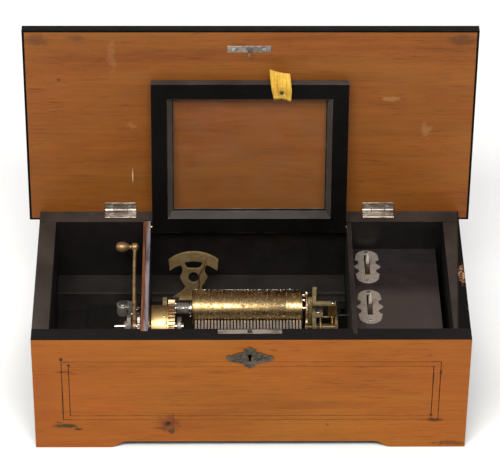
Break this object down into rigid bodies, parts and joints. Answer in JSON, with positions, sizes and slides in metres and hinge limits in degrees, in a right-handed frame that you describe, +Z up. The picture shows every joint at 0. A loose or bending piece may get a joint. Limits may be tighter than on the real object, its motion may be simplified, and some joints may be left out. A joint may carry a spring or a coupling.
{
  "type": "wind up music box",
  "caption": "Lever-wound cylinder music box: wooden case with an open hinged lid, a glazed inner lid with ribbon pull, and a brass cylinder movement with comb, spring barrel and governor.",
  "frame": {"origin": "centre of the bounding box at the base, under the case with its lid open", "axes": "+Z up, +X to the right seen from the front, +Y from the front panel to the back"},
  "size_m": [0.421, 0.2136, 0.3306],
  "materials": {
    "fruitwood": "french polished, worn satin",
    "ebonised_wood": "ebonised, satin lacquer",
    "dark_inlay": "dark stringing, flush",
    "dark_bronze": "patinated, matte",
    "nickel": "worn nickel plate",
    "brass": "aged, lightly tarnished",
    "steel": "brushed, oiled",
    "black_iron": "blackened",
    "glass": "clear, old",
    "ribbon": "woven silk"
  },
  "bodies": {
    "case": {"front_panel": "fruitwood", "back_panel": "ebonised_wood", "left_end": "ebonised_wood", "right_end": "ebonised_wood", "bottom_board": "ebonised_wood", "front_stringing": "dark_inlay", "escutcheon": "dark_bronze", "lock_case": "nickel", "rear_rail": "ebonised_wood", "rear_batten": "ebonised_wood", "left_partition": "ebonised_wood", "right_partition": "ebonised_wood", "control_deck": "ebonised_wood", "glass_ledge": "ebonised_wood", "hinge_case_leaves": "nickel", "hinge_pins": "steel", "case_screws": "steel", "glazed_pivots": "brass", "bedplate": "black_iron", "movement_screws": "steel", "left_barrel_bracket": "nickel", "right_barrel_bracket": "brass", "holding_click": "steel", "cylinder_cocks": "brass", "comb": "steel", "comb_base": "brass", "tune_indicator": "brass", "governor_cock": "brass", "control_plates": "nickel"},
    "lid": {"hinge_lid_leaves": "nickel", "lid_screws": "steel", "lid_panel": "fruitwood", "lid_edge_bands": "ebonised_wood", "strike_plate": "nickel"},
    "glazed_lid": {"glazed_frame": "ebonised_wood", "glass_pane": "glass", "ribbon_pull": "ribbon", "ribbon_tack": "brass"},
    "bolt": {"lock_bolt": "steel"},
    "lever": {"winding_lever": "brass", "lever_knob": "brass", "drive_click": "steel"},
    "arbor": {"winding_arbor": "steel", "ratchet_wheel": "steel"},
    "barrel": {"barrel_drum": "brass", "great_wheel": "brass", "mainspring": "steel"},
    "cylinder_shaft": {"cylinder_arbor": "steel", "cylinder_pinion": "steel", "cylinder_spring": "steel", "snail_cam": "steel", "cylinder_wheel": "brass"},
    "cylinder_drum": {"tune_cylinder": "brass", "cylinder_pins": "steel"},
    "pointer": {"tune_pointer": "brass"},
    "first_wheel": {"governor_first_wheel": "brass"},
    "second_wheel": {"governor_second_wheel": "brass"},
    "fly": {"endless_screw": "brass"},
    "stop_control": {"stop_lever": "brass"},
    "change_control": {"change_lever": "brass"}
  },
  "joints": [
    {"name": "lid_hinge", "type": "hinge", "parent": "case", "child": "lid", "pos_m": [0, 0.08587, 0.1315], "axis": [-1, 0, 0], "range_deg": [-93.5, 0]},
    {"name": "glazed_lid_hinge", "type": "hinge", "parent": "case", "child": "glazed_lid", "pos_m": [0, 0.06467, 0.1275], "axis": [-1, 0, 0], "range_deg": [-99.4, 0], "deforming": ["ribbon_pull"]},
    {"name": "lock_bolt_slide", "type": "slide", "parent": "case", "child": "bolt", "axis": [1, 0, 0], "range_m": [0, 0.005]},
    {"name": "winding_lever_swing", "type": "hinge", "parent": "case", "child": "lever", "pos_m": [-0.1087, -0.02433, 0.0788], "axis": [1, 0, 0], "range_deg": [0, 103]},
    {"name": "winding_arbor_turn", "type": "hinge", "parent": "case", "child": "arbor", "pos_m": [-0.1, -0.02433, 0.0788], "axis": [1, 0, 0], "range_deg": [0, 103]},
    {"name": "barrel_spin", "type": "hinge", "parent": "case", "child": "barrel", "pos_m": [-0.08, -0.02433, 0.0788], "axis": [1, 0, 0], "continuous": true},
    {"name": "cylinder_spin", "type": "hinge", "parent": "case", "child": "cylinder_shaft", "pos_m": [0, 0.00437, 0.077], "axis": [1, 0, 0], "continuous": true},
    {"name": "cylinder_shift", "type": "slide", "parent": "cylinder_shaft", "child": "cylinder_drum", "axis": [1, 0, 0], "range_m": [0, 0.00245]},
    {"name": "tune_pointer_swing", "type": "hinge", "parent": "case", "child": "pointer", "pos_m": [-0.05, 0.03727, 0.07], "axis": [0, -1, 0], "range_deg": [0, 25]},
    {"name": "first_wheel_spin", "type": "hinge", "parent": "case", "child": "first_wheel", "pos_m": [0.066, -0.00698, 0.06348], "axis": [1, 0, 0], "continuous": true},
    {"name": "second_wheel_spin", "type": "hinge", "parent": "case", "child": "second_wheel", "pos_m": [0.07, 0.00496, 0.06558], "axis": [1, 0, 0], "continuous": true},
    {"name": "fly_spin", "type": "hinge", "parent": "case", "child": "fly", "pos_m": [0.078, -0.00184, 0.07], "axis": [0, 0, 1], "continuous": true},
    {"name": "stop_lever_swing", "type": "hinge", "parent": "case", "child": "stop_control", "pos_m": [0.112, -0.01983, 0.066], "axis": [-1, 0, 0], "range_deg": [0, 10]},
    {"name": "change_lever_swing", "type": "hinge", "parent": "case", "child": "change_control", "pos_m": [0.112, 0.03967, 0.066], "axis": [-1, 0, 0], "range_deg": [0, 10]}
  ],
  "couplings": [
    {"joint": "glazed_lid_hinge", "follows": "lid_hinge", "ratio": 1.0631},
    {"joint": "winding_arbor_turn", "follows": "winding_lever_swing", "ratio": 1},
    {"joint": "barrel_spin", "follows": "cylinder_spin", "ratio": -0.18182},
    {"joint": "first_wheel_spin", "follows": "cylinder_spin", "ratio": -6},
    {"joint": "second_wheel_spin", "follows": "cylinder_spin", "ratio": 30},
    {"joint": "fly_spin", "follows": "cylinder_spin", "ratio": 720},
    {"joint": "tune_pointer_swing", "follows": "cylinder_shift", "rad_per_m": 178}
  ]
}
